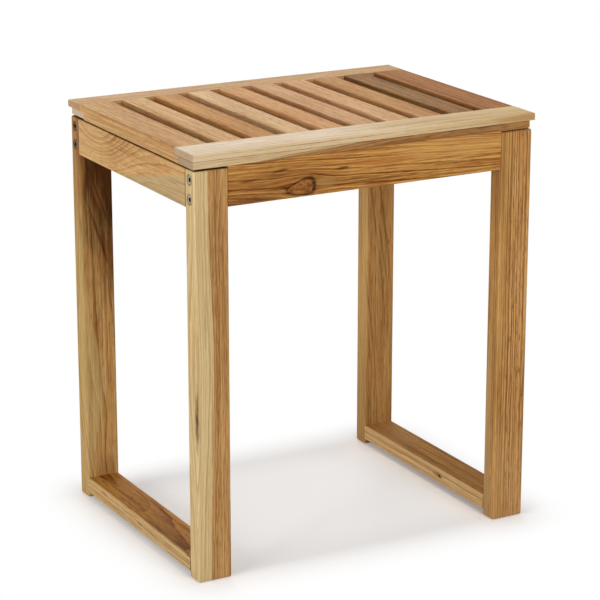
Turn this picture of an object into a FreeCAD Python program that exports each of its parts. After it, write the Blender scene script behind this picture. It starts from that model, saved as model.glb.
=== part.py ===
import FreeCAD, Part
import os
import re
import Sketcher

# A slatted wooden bath stool. Two closed side frames carry two aprons, and the aprons carry the seat.
# Millimetres, +Z up, +X to the right, the front faces -Y. The origin is on the floor, under the middle.
# The side frames, the aprons and their fasteners are copied by half a turn about the Z axis, so each
# of these is drawn for the left or the front, and its twin is the same piece turned. The seat's boards
# and battens are drawn for the front too, but the two at the rear have widths and ends of their own.

SIZES = {
    # the seat's outline, and how far it stands out beyond the legs on every side
    "seat_length": 400.0,
    "seat_depth": 300.0,
    "seat_overhang": 2.0,
    # the shadow gap between the tops of the side frames and the seat
    "seat_gap": 2.0,
    # the long battens at the front and the back of the seat, and the boards glued on top of them. One of
    # each pair reaches further in: at the front the board, over the ends of the slats, and at the back the
    # batten, under them. The front batten falls short of its board at the right end. The rear one is set
    # back from its board's edge, and ends level with the side frames
    "strip_width": 31.0,
    "strip_lip": 10.0,
    "batten_thickness": 7.5,
    "batten_shortfall": 6.5,
    "batten_setback": 5.5,
    "board_thickness": 7.5,
    # the slats: the two outer ones are wider, and the gaps between slats share what is left
    "slat_width": 27.0,
    "outer_slat_width": 37.0,
    "slat_fit": 0.2,
    # the bars of the side frames and the aprons
    "leg_length": 433.0,
    "leg_width": 38.0,
    "leg_thickness": 20.0,
    "top_rail_height": 40.5,
    "top_rail_thickness": 19.0,
    "foot_rail_thickness": 17.5,
    "foot_clearance": 5.5,
    "apron_thickness": 19.0,
    "apron_setback": 1.0,
    # the rounding of the bars' edges, the seat's front edge, the slats' top edges and all finer edges
    "bar_round": 2.4,
    "seat_round": 1.6,
    "slat_round": 1.3,
    "fine_round": 0.6,
    # the countersunk bolts that pull the aprons to the legs
    "bolt_diameter": 6.0,
    "bolt_past_nut": 5.3,
    "bolt_spacing": 20.0,
    "bolt_head_diameter": 11.0,
    "bolt_head_rim": 0.6,
    "bolt_head_sink": 0.3,
    "bolt_socket_width": 4.0,
    "bolt_socket_depth": 2.2,
    "bolt_fit": 0.2,
    "bolt_end_room": 1.5,
    "thread_fit": 0.05,
    # the barrel nuts that the bolts screw into
    "nut_diameter": 10.0,
    "nut_length": 12.0,
    "nut_inset": 22.0,
    "nut_slot_width": 1.6,
    "nut_slot_depth": 1.4,
    "nut_fit": 0.1,
    # the pegs between the rails and the legs
    "peg_diameter": 8.0,
    "peg_in_leg": 12.0,
    "peg_in_rail": 18.0,
    "peg_margin": 9.0,
    "peg_fit": 0.1,
    "peg_end_room": 0.5,
    # the screws that hold the seat on the aprons, from below
    "screw_diameter": 4.0,
    "screw_head_diameter": 8.0,
    "screw_head_height": 2.6,
    "screw_recess_length": 4.8,
    "screw_recess_width": 1.1,
    "screw_recess_depth": 1.6,
    "screw_in_board": 3.0,
    "screw_tip": 3.0,
    "screw_point_diameter": 1.0,
    "screw_inset": 50.0,
    "screw_fit": 0.15,
    "screw_end_room": 0.6,
    "counterbore_fit": 1.0,
    "counterbore_depth": 18.0,
}
SLAT_COUNT = 10

RIGHT = FreeCAD.Vector(1, 0, 0)
UP = FreeCAD.Vector(0, 0, 1)
TO_RIGHT = FreeCAD.Rotation(UP, RIGHT)
TO_LEFT = FreeCAD.Rotation(UP, FreeCAD.Vector(-1, 0, 0))
TO_BACK = FreeCAD.Rotation(UP, FreeCAD.Vector(0, 1, 0))
TO_FRONT = FreeCAD.Rotation(UP, FreeCAD.Vector(0, -1, 0))
UPWARDS = FreeCAD.Rotation()

doc = FreeCAD.newDocument("BathStool")
sheet = doc.addObject("Spreadsheet::Sheet", "Sizes")
for row, (alias, value) in enumerate(SIZES.items(), start=1):
    sheet.set(f"A{row}", alias)
    sheet.set(f"B{row}", str(value))
    sheet.setAlias(f"B{row}", alias)
doc.recompute()


def size(formula):
    """Turns a formula in the sheet's plain names, such as leg_width / 2, into an expression."""
    return re.sub(r"[a-z_]+", lambda word: f"Sizes.{word[0]}" if word[0] in SIZES else word[0], formula)


# places and lengths that more than one piece needs
FRAME_X = "(seat_length / 2 - seat_overhang)"
FRAME_Y = "(seat_depth / 2 - seat_overhang)"
SEAT_BASE = "(leg_length + seat_gap)"
LEG_X = f"(-1 * {FRAME_X} + leg_width / 2)"
LEG_Y = f"(-1 * {FRAME_Y} + leg_thickness / 2)"
RAIL_RUN = f"(2 * {FRAME_Y} - 2 * leg_thickness)"
TOP_RAIL_X = f"(-1 * {FRAME_X} + top_rail_thickness / 2)"
TOP_RAIL_Z = "(leg_length - top_rail_height / 2)"
FOOT_RAIL_Z = "(foot_clearance + foot_rail_thickness / 2)"
APRON_RUN = f"(2 * {FRAME_X} - 2 * leg_width)"
APRON_HEIGHT = "(top_rail_height + seat_gap)"
APRON_Y = f"(-1 * {FRAME_Y} + apron_setback + apron_thickness / 2)"
APRON_Z = f"({SEAT_BASE} - {APRON_HEIGHT} / 2)"
BOLT_RADIUS = "(bolt_diameter / 2 + bolt_fit)"
HEAD_HEIGHT = "((bolt_head_diameter - bolt_diameter) / 2)"
BOLT_REACH = "(nut_inset + nut_diameter / 2 + bolt_past_nut)"
BOLT_LENGTH = f"(leg_width - bolt_head_sink + {BOLT_REACH})"
NUT_X = f"(-1 * {FRAME_X} + leg_width + nut_inset)"
PEG_STEP = "(leg_width / 2 - peg_margin)"
SCREW_STEP = f"({APRON_RUN} / 2 - screw_inset)"
SCREW_RADIUS = "(screw_diameter / 2 + screw_fit)"
WIDE_STRIP = "(strip_width + strip_lip)"
SEAT_THICKNESS = "(batten_thickness + board_thickness)"
SLAT_RUN = f"(seat_depth - 2 * {WIDE_STRIP})"
TONGUE_RUN = "(seat_depth - 2 * strip_width - 2 * slat_fit)"
TONGUE_LENGTH = f"(({TONGUE_RUN} - {SLAT_RUN}) / 2)"
TONGUE_HEIGHT = "(batten_thickness - slat_fit)"
SLAT_GAP = f"((seat_length - 2 * outer_slat_width - {SLAT_COUNT - 2} * slat_width) / {SLAT_COUNT - 1})"


def bind(thing, **formulas):
    """Ties properties of an object to formulas in the sheet's names."""
    for name, formula in formulas.items():
        thing.setExpression(name, size(formula))


def place(thing, x, y, z, rotation=UPWARDS):
    """Puts an object's own origin at three formulas, with a fixed rotation."""
    thing.Placement = FreeCAD.Placement(FreeCAD.Vector(), rotation)
    for axis, formula in zip("xyz", (x, y, z)):
        thing.setExpression(f"Placement.Base.{axis}", size(formula))


def settle(piece, x, y, z, turned):
    """Puts a piece in the stool: where it was drawn for, or at its twin's place, turned half round."""
    if turned:
        place(piece, f"-1 * {x}", f"-1 * {y}", z, FreeCAD.Rotation(UP, 180))
    else:
        place(piece, x, y, z)


def new_body(label):
    body = doc.addObject("PartDesign::Body", label)
    body.Label = label
    return body


def plane_of(body, role):
    """One of a body's own origin planes, by its role."""
    return next(plane for plane in body.Origin.OriginFeatures if plane.Role == role)


def pad_rectangle(body, name, role, width, height, length):
    """Pads a rectangle that is centred on the body's origin, off one of the body's planes."""
    sketch = body.newObject("Sketcher::SketchObject", f"{name}_outline")
    sketch.AttachmentSupport = (plane_of(body, role), [""])
    sketch.MapMode = "FlatFace"
    corners = [FreeCAD.Vector(x, y, 0) for x, y in ((-1, -1), (1, -1), (1, 1), (-1, 1))]
    for side in range(4):
        sketch.addGeometry(Part.LineSegment(corners[side], corners[(side + 1) % 4]), False)
    for side in range(4):
        sketch.addConstraint(Sketcher.Constraint("Coincident", side, 2, (side + 1) % 4, 1))
        sketch.addConstraint(Sketcher.Constraint("Vertical" if side % 2 else "Horizontal", side))
    sketch.addConstraint(Sketcher.Constraint("Symmetric", 0, 1, 1, 2, -1, 1))
    for word, kind, side, formula in (("width", "DistanceX", 0, width), ("height", "DistanceY", 1, height)):
        index = sketch.addConstraint(Sketcher.Constraint(kind, side, 1, side, 2, 2.0))
        sketch.renameConstraint(index, word)
        sketch.setExpression(f"Constraints.{word}", size(formula))
    pad = body.newObject("PartDesign::Pad", name)
    pad.Profile = sketch
    bind(pad, Length=length)
    doc.recompute()
    return pad


def long_edges(feature, axis, test=lambda middle, box: True):
    """Names of the straight edges along one axis of the body, with a test of where their middle lies."""
    names = []
    shape = feature.Shape
    for number, edge in enumerate(shape.Edges, start=1):
        run = edge.Vertexes[-1].Point - edge.Vertexes[0].Point
        straight = abs(abs(run.dot(axis)) - run.Length) < 1e-6 and run.Length > 1e-6
        if straight and test(edge.CenterOfMass, shape.BoundBox):
            names.append(f"Edge{number}")
    return names


def round_edges(body, name, base, edges, radius):
    """Rounds the named edges of a feature."""
    fillet = body.newObject("PartDesign::Fillet", name)
    fillet.Base = (base, edges)
    bind(fillet, Radius=radius)
    doc.recompute()
    return fillet


def every_edge(feature):
    return [f"Edge{number}" for number in range(1, len(feature.Shape.Edges) + 1)]


def drill(body, name, radius, depth, x, y, z, direction):
    """Bores a round hole that starts at a point of the body and runs in one direction."""
    hole = body.newObject("PartDesign::SubtractiveCylinder", name)
    bind(hole, Radius=radius, Height=depth)
    place(hole, x, y, z, direction)
    doc.recompute()
    return hole


def countersink(body, name, x, y, z):
    """Bores the seat of a bolt's head from the left: its sunk rim and the cone under it."""
    rim_radius = "bolt_head_diameter / 2 + bolt_fit"
    rim_depth = "(bolt_head_sink + bolt_head_rim)"
    drill(body, f"{name}_rim", rim_radius, rim_depth, x, y, z, TO_RIGHT)
    cone = body.newObject("PartDesign::SubtractiveCone", f"{name}_cone")
    bind(cone, Radius1=rim_radius, Radius2=BOLT_RADIUS, Height=HEAD_HEIGHT)
    place(cone, f"{x} + {rim_depth}", y, z, TO_RIGHT)
    doc.recompute()


# The side frames

FOOT_PEGS = (f"-1 * {PEG_STEP}", PEG_STEP)


def leg(label, hand, turned):
    """A leg of the left frame: hand 1 is the front leg, hand -1 the rear one."""
    body = new_body(label)
    bar = pad_rectangle(body, f"{label}_bar", "XY_Plane", "leg_width", "leg_thickness", "leg_length")
    round_edges(body, f"{label}_rounding", bar, every_edge(bar), "bar_round")
    outside = "-1 * leg_width / 2"
    for number, side in enumerate((-1, 1), start=1):
        level = f"{TOP_RAIL_Z} + {side} * bolt_spacing / 2"
        name = f"{label}_bolt_hole_{number}"
        drill(body, name, BOLT_RADIUS, "leg_width", outside, "0", level, TO_RIGHT)
        countersink(body, name, outside, "0", level)
    inside = f"{hand} * leg_thickness / 2"
    inwards = TO_FRONT if hand > 0 else TO_BACK
    peg_hole = ("peg_diameter / 2 + peg_fit", "peg_in_leg + peg_end_room")
    drill(body, f"{label}_top_peg_hole", *peg_hole, f"{TOP_RAIL_X} - {LEG_X}", inside, TOP_RAIL_Z, inwards)
    for number, across in enumerate(FOOT_PEGS, start=1):
        drill(body, f"{label}_foot_peg_hole_{number}", *peg_hole, across, inside, FOOT_RAIL_Z, inwards)
    settle(body, LEG_X, f"{hand} * {LEG_Y}", "0", turned)
    return body


def frame_rail(label, width, height, x, z, peg_places, turned):
    """A rail of the left frame, between its two legs, with peg holes in both ends."""
    body = new_body(label)
    bar = pad_rectangle(body, f"{label}_bar", "XZ_Plane", width, height, RAIL_RUN)
    round_edges(body, f"{label}_rounding", bar, long_edges(bar, FreeCAD.Vector(0, 1, 0)), "bar_round")
    # the bar grows towards the front, so its rear end is at the body's origin
    for number, across in enumerate(peg_places, start=1):
        hole = ("peg_diameter / 2 + peg_fit", "peg_in_rail + peg_end_room", across)
        drill(body, f"{label}_rear_peg_hole_{number}", *hole, "0", "0", TO_FRONT)
        drill(body, f"{label}_front_peg_hole_{number}", *hole, f"-1 * {RAIL_RUN}", "0", TO_BACK)
    settle(body, x, f"{RAIL_RUN} / 2", z, turned)
    return body


def top_rail(label, turned):
    return frame_rail(label, "top_rail_thickness", "top_rail_height", TOP_RAIL_X, TOP_RAIL_Z, ("0",), turned)


def foot_rail(label, turned):
    return frame_rail(label, "leg_width", "foot_rail_thickness", LEG_X, FOOT_RAIL_Z, FOOT_PEGS, turned)


# The seat and its aprons

def apron(label, turned):
    """The front apron: its ends butt the legs, its top carries the seat."""
    body = new_body(label)
    bar = pad_rectangle(body, f"{label}_bar", "YZ_Plane", "apron_thickness", APRON_HEIGHT, APRON_RUN)
    lower = long_edges(bar, RIGHT, lambda middle, box: middle.z < box.Center.z)
    rounded = round_edges(body, f"{label}_rounding", bar, lower, "bar_round")
    upper = long_edges(rounded, RIGHT, lambda middle, box: abs(middle.z - box.ZMax) < 1e-6)
    round_edges(body, f"{label}_top_rounding", rounded, upper, "fine_round")
    bolt_y = f"{LEG_Y} - {APRON_Y}"
    bore = f"{BOLT_REACH} + bolt_end_room"
    back = "apron_thickness / 2"
    nut_depth = f"{back} - ({bolt_y}) + nut_length / 2 + nut_fit"
    for number, side in enumerate((-1, 1), start=1):
        level = f"{TOP_RAIL_Z} - {APRON_Z} + {side} * bolt_spacing / 2"
        for end, start, inset, inwards in (("left", "0", "nut_inset", TO_RIGHT),
                                           ("right", APRON_RUN, f"{APRON_RUN} - nut_inset", TO_LEFT)):
            drill(body, f"{label}_{end}_bolt_hole_{number}", BOLT_RADIUS, bore,
                  start, bolt_y, level, inwards)
            drill(body, f"{label}_{end}_nut_hole_{number}", "nut_diameter / 2 + nut_fit", nut_depth,
                  inset, back, level, TO_FRONT)
    for number, step in enumerate((-1, 0, 1), start=1):
        along = f"{APRON_RUN} / 2 + {step} * {SCREW_STEP}"
        under = f"-1 * {APRON_HEIGHT} / 2"
        drill(body, f"{label}_screw_hole_{number}", SCREW_RADIUS, APRON_HEIGHT, along, "0", under, UPWARDS)
        drill(body, f"{label}_counterbore_{number}", "screw_head_diameter / 2 + counterbore_fit",
              "counterbore_depth", along, "0", under, UPWARDS)
    settle(body, f"-1 * {APRON_RUN} / 2", APRON_Y, APRON_Z, turned)
    return body


def seat_board(label, width, turned):
    """The upper board at the front of the seat, with a softer front edge and blind screw holes below."""
    body = new_body(label)
    bar = pad_rectangle(body, f"{label}_bar", "YZ_Plane", width, "board_thickness", "seat_length")
    front_top = long_edges(bar, RIGHT,
                           lambda middle, box: middle.y < box.Center.y and middle.z > box.Center.z)
    rounded = round_edges(body, f"{label}_front_rounding", bar, front_top, "seat_round")
    round_edges(body, f"{label}_rounding", rounded, every_edge(rounded), "fine_round")
    board_y = f"(-1 * seat_depth / 2 + {width} / 2)"
    for number, step in enumerate((-1, 0, 1), start=1):
        drill(body, f"{label}_screw_hole_{number}", SCREW_RADIUS, "screw_in_board + screw_end_room",
              f"seat_length / 2 + {step} * {SCREW_STEP}", f"{APRON_Y} - {board_y}",
              "-1 * board_thickness / 2", UPWARDS)
    level = f"({SEAT_BASE} + batten_thickness + board_thickness / 2)"
    settle(body, "-1 * seat_length / 2", board_y, level, turned)
    return body


def seat_batten(label, width, setback, left_short, right_short, turned):
    """The batten under the front board, set back from the board's edge and short of its two ends."""
    body = new_body(label)
    bar = pad_rectangle(body, f"{label}_bar", "YZ_Plane", width, "batten_thickness",
                        f"seat_length - {left_short} - {right_short}")
    round_edges(body, f"{label}_rounding", bar, every_edge(bar), "fine_round")
    start = f"(-1 * seat_length / 2 + {left_short})"
    batten_y = f"(-1 * seat_depth / 2 + {setback} + {width} / 2)"
    for number, step in enumerate((-1, 0, 1), start=1):
        drill(body, f"{label}_screw_hole_{number}", SCREW_RADIUS, "batten_thickness",
              f"{step} * {SCREW_STEP} - {start}", f"{APRON_Y} - {batten_y}",
              "-1 * batten_thickness / 2", UPWARDS)
    settle(body, start, batten_y, f"({SEAT_BASE} + batten_thickness / 2)", turned)
    return body


def slat(label, number):
    """A slat, with half its thickness cut away at each end: above at the front, and below at the back."""
    body = new_body(label)
    width = "outer_slat_width" if number in (1, SLAT_COUNT) else "slat_width"
    bar = pad_rectangle(body, f"{label}_bar", "XY_Plane", width, TONGUE_RUN, SEAT_THICKNESS)
    along = FreeCAD.Vector(0, 1, 0)
    top = long_edges(bar, along, lambda middle, box: abs(middle.z - box.ZMax) < 1e-6)
    rounded = round_edges(body, f"{label}_top_rounding", bar, top, "slat_round")
    bottom = long_edges(rounded, along, lambda middle, box: abs(middle.z - box.ZMin) < 1e-6)
    round_edges(body, f"{label}_rounding", rounded, bottom, "fine_round")
    above = "board_thickness + slat_fit"
    for end, y, z, height in (("front", f"-1 * {TONGUE_RUN} / 2", TONGUE_HEIGHT, above),
                              ("rear", f"{SLAT_RUN} / 2", "0", "batten_thickness")):
        rebate = body.newObject("PartDesign::SubtractiveBox", f"{label}_{end}_rebate")
        bind(rebate, Length=width, Width=TONGUE_LENGTH, Height=height)
        place(rebate, f"-1 * {width} / 2", y, z)
        doc.recompute()
    if number == 1:
        x = f"-1 * seat_length / 2 + {width} / 2"
    elif number == SLAT_COUNT:
        x = f"seat_length / 2 - {width} / 2"
    else:
        x = (f"-1 * seat_length / 2 + outer_slat_width + {number - 1} * {SLAT_GAP} "
             f"+ ({number} - 1.5) * slat_width")
    settle(body, x, "0", SEAT_BASE, False)
    return body


# Fasteners: each node is a group of loose, equal pieces

def primitive(kind, name, **formulas):
    thing = doc.addObject(f"Part::{kind}", name)
    bind(thing, **formulas)
    return thing


def fuse(name, *things):
    joined = doc.addObject("Part::MultiFuse", name)
    joined.Shapes = things
    return joined


def cut(name, base, tool):
    rest = doc.addObject("Part::Cut", name)
    rest.Base = base
    rest.Tool = tool
    return rest


def group(label, pieces, turned):
    together = doc.addObject("Part::Compound", label)
    together.Label = label
    together.Links = pieces
    settle(together, "0", "0", "0", turned)
    doc.recompute()
    return together


def bolt(name):
    """A countersunk bolt along its own +Z, with the flat of its head at the origin."""
    rim = primitive("Cylinder", f"{name}_rim", Radius="bolt_head_diameter / 2", Height="bolt_head_rim")
    cone = primitive("Cone", f"{name}_head", Radius1="bolt_head_diameter / 2", Radius2="bolt_diameter / 2",
                     Height=HEAD_HEIGHT)
    place(cone, "0", "0", "bolt_head_rim")
    shank = primitive("Cylinder", f"{name}_shank", Radius="bolt_diameter / 2",
                      Height=f"{BOLT_LENGTH} - bolt_head_rim - {HEAD_HEIGHT}")
    place(shank, "0", "0", f"bolt_head_rim + {HEAD_HEIGHT}")
    socket = primitive("Prism", f"{name}_socket", Circumradius="bolt_socket_width / sqrt(3)",
                       Height="bolt_socket_depth")
    socket.Polygon = 6
    return cut(name, fuse(f"{name}_solid", rim, cone, shank), socket)


def apron_bolts(label, turned):
    """The four bolts of the left frame, two through each leg."""
    pieces = []
    for hand, where in ((1, "front"), (-1, "rear")):
        for number, side in enumerate((-1, 1), start=1):
            piece = bolt(f"{label}_{where}_{number}")
            place(piece, f"-1 * {FRAME_X} + bolt_head_sink", f"{hand} * {LEG_Y}",
                  f"{TOP_RAIL_Z} + {side} * bolt_spacing / 2", TO_RIGHT)
            pieces.append(piece)
    return group(label, pieces, turned)


def barrel_nut(name):
    """A barrel nut along its own +Z, with a cross hole at half its length and a slot in its far end."""
    barrel = primitive("Cylinder", f"{name}_barrel", Radius="nut_diameter / 2", Height="nut_length")
    bore = primitive("Cylinder", f"{name}_bore", Radius="bolt_diameter / 2 + thread_fit",
                     Height="nut_diameter")
    place(bore, "-1 * nut_diameter / 2", "0", "nut_length / 2", TO_RIGHT)
    slot = primitive("Box", f"{name}_slot", Length="nut_diameter", Width="nut_slot_width",
                     Height="nut_slot_depth")
    place(slot, "-1 * nut_diameter / 2", "-1 * nut_slot_width / 2", "nut_length - nut_slot_depth")
    return cut(name, barrel, fuse(f"{name}_cuts", bore, slot))


def barrel_nuts(label, turned):
    """The four nuts of the front apron, two at each end, their slots towards the back."""
    pieces = []
    for hand, where in ((1, "left"), (-1, "right")):
        for number, side in enumerate((-1, 1), start=1):
            piece = barrel_nut(f"{label}_{where}_{number}")
            place(piece, f"{hand} * {NUT_X}", f"{LEG_Y} - nut_length / 2",
                  f"{TOP_RAIL_Z} + {side} * bolt_spacing / 2", TO_BACK)
            pieces.append(piece)
    return group(label, pieces, turned)


def frame_dowels(label, turned):
    """The pegs of the left frame: one at each end of its top rail, two at each end of its foot rail."""
    pieces = []
    places = [("top", TOP_RAIL_X, TOP_RAIL_Z)]
    places += [(f"foot_{number}", f"{LEG_X} + {across}", FOOT_RAIL_Z)
               for number, across in enumerate(FOOT_PEGS, start=1)]
    ends = (("front", f"-1 * {RAIL_RUN} / 2 - peg_in_leg"), ("rear", f"{RAIL_RUN} / 2 - peg_in_rail"))
    for where, x, z in places:
        for end, y in ends:
            peg = primitive("Cylinder", f"{label}_{where}_{end}", Radius="peg_diameter / 2",
                            Height="peg_in_leg + peg_in_rail")
            place(peg, x, y, z, TO_BACK)
            pieces.append(peg)
    return group(label, pieces, turned)


def seat_screw(name):
    """A wood screw along its own +Z, its head's underside at the origin, with a cross recess below."""
    head = primitive("Cylinder", f"{name}_head", Radius="screw_head_diameter / 2",
                     Height="screw_head_height")
    place(head, "0", "0", "-1 * screw_head_height")
    run = f"({APRON_HEIGHT} - counterbore_depth + batten_thickness + screw_in_board)"
    shank = primitive("Cylinder", f"{name}_shank", Radius="screw_diameter / 2",
                      Height=f"{run} - screw_tip")
    tip = primitive("Cone", f"{name}_tip", Radius1="screw_diameter / 2", Radius2="screw_point_diameter / 2",
                    Height="screw_tip")
    place(tip, "0", "0", f"{run} - screw_tip")
    blades = []
    sides = ("screw_recess_length", "screw_recess_width")
    for number, (length, width) in enumerate((sides, sides[::-1]), start=1):
        blade = primitive("Box", f"{name}_blade_{number}", Length=length, Width=width,
                          Height="screw_recess_depth")
        place(blade, f"-1 * {length} / 2", f"-1 * {width} / 2", "-1 * screw_head_height")
        blades.append(blade)
    return cut(name, fuse(f"{name}_solid", head, shank, tip), fuse(f"{name}_recess", *blades))


def seat_screws(label):
    """Three screws through each apron, up into the batten and the board above it."""
    pieces = []
    for hand, where in ((1, "front"), (-1, "rear")):
        for number, step in enumerate((-1, 0, 1), start=1):
            piece = seat_screw(f"{label}_{where}_{number}")
            place(piece, f"{step} * {SCREW_STEP}", f"{hand} * {APRON_Y}",
                  f"{SEAT_BASE} - {APRON_HEIGHT} + counterbore_depth")
            pieces.append(piece)
    return group(label, pieces, False)


# The assembly

pieces = [
    leg("left_front_leg", 1, False),
    leg("left_rear_leg", -1, False),
    leg("right_rear_leg", 1, True),
    leg("right_front_leg", -1, True),
    apron("front_apron", False),
    apron("rear_apron", True),
    seat_board("seat_front_board", WIDE_STRIP, False),
    seat_board("seat_rear_board", "strip_width", True),
    seat_batten("seat_front_batten", "strip_width", "0", "0", "batten_shortfall", False),
    seat_batten("seat_rear_batten", f"({WIDE_STRIP} - batten_setback)", "batten_setback",
                "seat_overhang", "seat_overhang", True),
    barrel_nuts("front_barrel_nuts", False),
    barrel_nuts("rear_barrel_nuts", True),
    seat_screws("seat_screws"),
]
for frame_side, is_turned in (("left", False), ("right", True)):
    pieces.append(top_rail(f"{frame_side}_top_rail", is_turned))
    pieces.append(foot_rail(f"{frame_side}_foot_rail", is_turned))
    pieces.append(frame_dowels(f"{frame_side}_frame_dowels", is_turned))
    pieces.append(apron_bolts(f"{frame_side}_apron_bolts", is_turned))
for slat_number in range(1, SLAT_COUNT + 1):
    pieces.append(slat(f"seat_slat_{slat_number:02d}", slat_number))
doc.recompute()

# Nothing is written unless every feature came out and every piece is a sound solid
for thing in doc.Objects:
    if "Invalid" in thing.State or "Error" in thing.State:
        raise RuntimeError(f"{thing.Name} failed: {thing.State}")
for piece in pieces:
    if piece.Shape.isNull() or not piece.Shape.isValid() or not piece.Shape.Solids:
        raise RuntimeError(f"{piece.Label} has no sound shape")

os.makedirs("parts", exist_ok=True)
for piece in pieces:
    piece.Shape.exportStep(f"parts/{piece.Label}.step")
    box = piece.Shape.BoundBox
    print(f"{piece.Label}: {len(piece.Shape.Solids)} solid(s), {piece.Shape.Volume / 1000:.2f} cm3, "
          f"X {box.XMin:.1f} to {box.XMax:.1f}, Y {box.YMin:.1f} to {box.YMax:.1f}, "
          f"Z {box.ZMin:.1f} to {box.ZMax:.1f}")
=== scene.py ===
# %% [markdown]
# # A slatted bath stool in oiled hardwood
#
# The stool arrives as a fixed frame: every leg, rail, apron, board and slat is already a solid of its
# real size, in metres, standing on the floor with its front towards -Y. On the real object these bars
# are sawn, planed and given softly rounded edges, and the solids have that shape, so the lesson leaves
# them alone. Almost all of what the eye reads as "wood" is in the finish, and that is made here.

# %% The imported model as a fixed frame
import math
from dataclasses import dataclass, replace

import bmesh
import bpy
import numpy as np
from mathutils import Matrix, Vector


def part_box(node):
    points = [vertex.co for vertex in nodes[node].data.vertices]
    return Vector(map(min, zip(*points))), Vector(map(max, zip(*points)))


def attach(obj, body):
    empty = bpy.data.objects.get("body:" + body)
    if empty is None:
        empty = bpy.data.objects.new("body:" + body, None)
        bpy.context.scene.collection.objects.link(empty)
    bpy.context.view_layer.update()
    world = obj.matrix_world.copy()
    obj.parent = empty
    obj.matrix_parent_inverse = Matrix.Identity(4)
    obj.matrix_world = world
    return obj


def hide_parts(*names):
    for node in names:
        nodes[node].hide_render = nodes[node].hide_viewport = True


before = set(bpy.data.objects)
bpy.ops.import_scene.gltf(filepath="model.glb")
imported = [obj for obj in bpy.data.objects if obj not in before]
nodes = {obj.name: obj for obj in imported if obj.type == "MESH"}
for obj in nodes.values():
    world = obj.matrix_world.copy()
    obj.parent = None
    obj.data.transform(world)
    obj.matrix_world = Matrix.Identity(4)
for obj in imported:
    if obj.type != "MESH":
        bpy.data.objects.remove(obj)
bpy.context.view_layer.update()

# %% [markdown]
# ## The camera
#
# The photograph looks down at the stool's front left corner from about two and a half metres away with a
# long lens. One could frame the object by eye, but the place, turn and tilt below were solved from the
# seat's corners and the feet, so that edges in the picture fall near where they should.

# %% Camera at the photograph's viewing angle
CAMERA_PLACE = (-1.2040, -2.1842, 0.9837)
CAMERA_TURN = math.radians(-28.9)
CAMERA_TILT = math.radians(90.0 - 16.7)
CAMERA_LENS = 144.0

camera_data = bpy.data.cameras.new("camera")
camera_data.lens = CAMERA_LENS
camera = bpy.data.objects.new("camera", camera_data)
camera.location = CAMERA_PLACE
camera.rotation_euler = (CAMERA_TILT, 0.0, CAMERA_TURN)
bpy.context.scene.collection.objects.link(camera)
bpy.context.scene.camera = camera
print("camera looks along", tuple(round(x, 3) for x in camera.rotation_euler))

# %% [markdown]
# ## Light
#
# A product photograph of pale wood uses big soft lamps, so that no bar throws a hard shadow on the next.
# Only the lamp above is smaller: it draws the grey patch under the seat and leaves the inner faces below
# the seat darker. It is just wide enough for the stripes of light from between the slats to run into each
# other on the floor, which keeps that patch even. Wide lamps at the left, the front and the back keep every
# side readable. Together they light a white card to about white, so that each colour renders about as it
# is written.

# %% Soft lamps
AIM = Vector((0.0, 0.0, 0.22))


def softbox(name, place, width, power):
    """A square lamp of a given width in metres, turned towards the middle of the stool."""
    data = bpy.data.lights.new(name, "AREA")
    data.size = width
    data.energy = power
    lamp = bpy.data.objects.new(name, data)
    lamp.location = place
    lamp.rotation_euler = (AIM - Vector(place)).to_track_quat("-Z", "Y").to_euler()
    bpy.context.scene.collection.objects.link(lamp)


softbox("lamp_above", place=(0.0, 0.0, 2.3), width=0.408, power=17.0)
softbox("lamp_left", place=(-2.9, -0.7, 0.75), width=1.7, power=52.0)
softbox("lamp_front", place=(0.2, -3.0, 0.9), width=1.7, power=38.0)
softbox("lamp_back", place=(0.8, 2.6, 1.5), width=1.6, power=18.0)

world = bpy.data.worlds.new("studio")
bpy.context.scene.world = world
bpy.context.scene.view_settings.view_transform = "Standard"

# %% [markdown]
# ## Shader sums in plain Python
#
# A wood finish is a long sum: rings, fibres, pores and stains added up. Laid out node by node it can't be
# read, so one small class wraps an output socket and takes part in Python's own sums. `1 - mask` then adds
# a Math node, and every other kind of node comes from the one method `node`.

# %% A socket that works in sums


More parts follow.
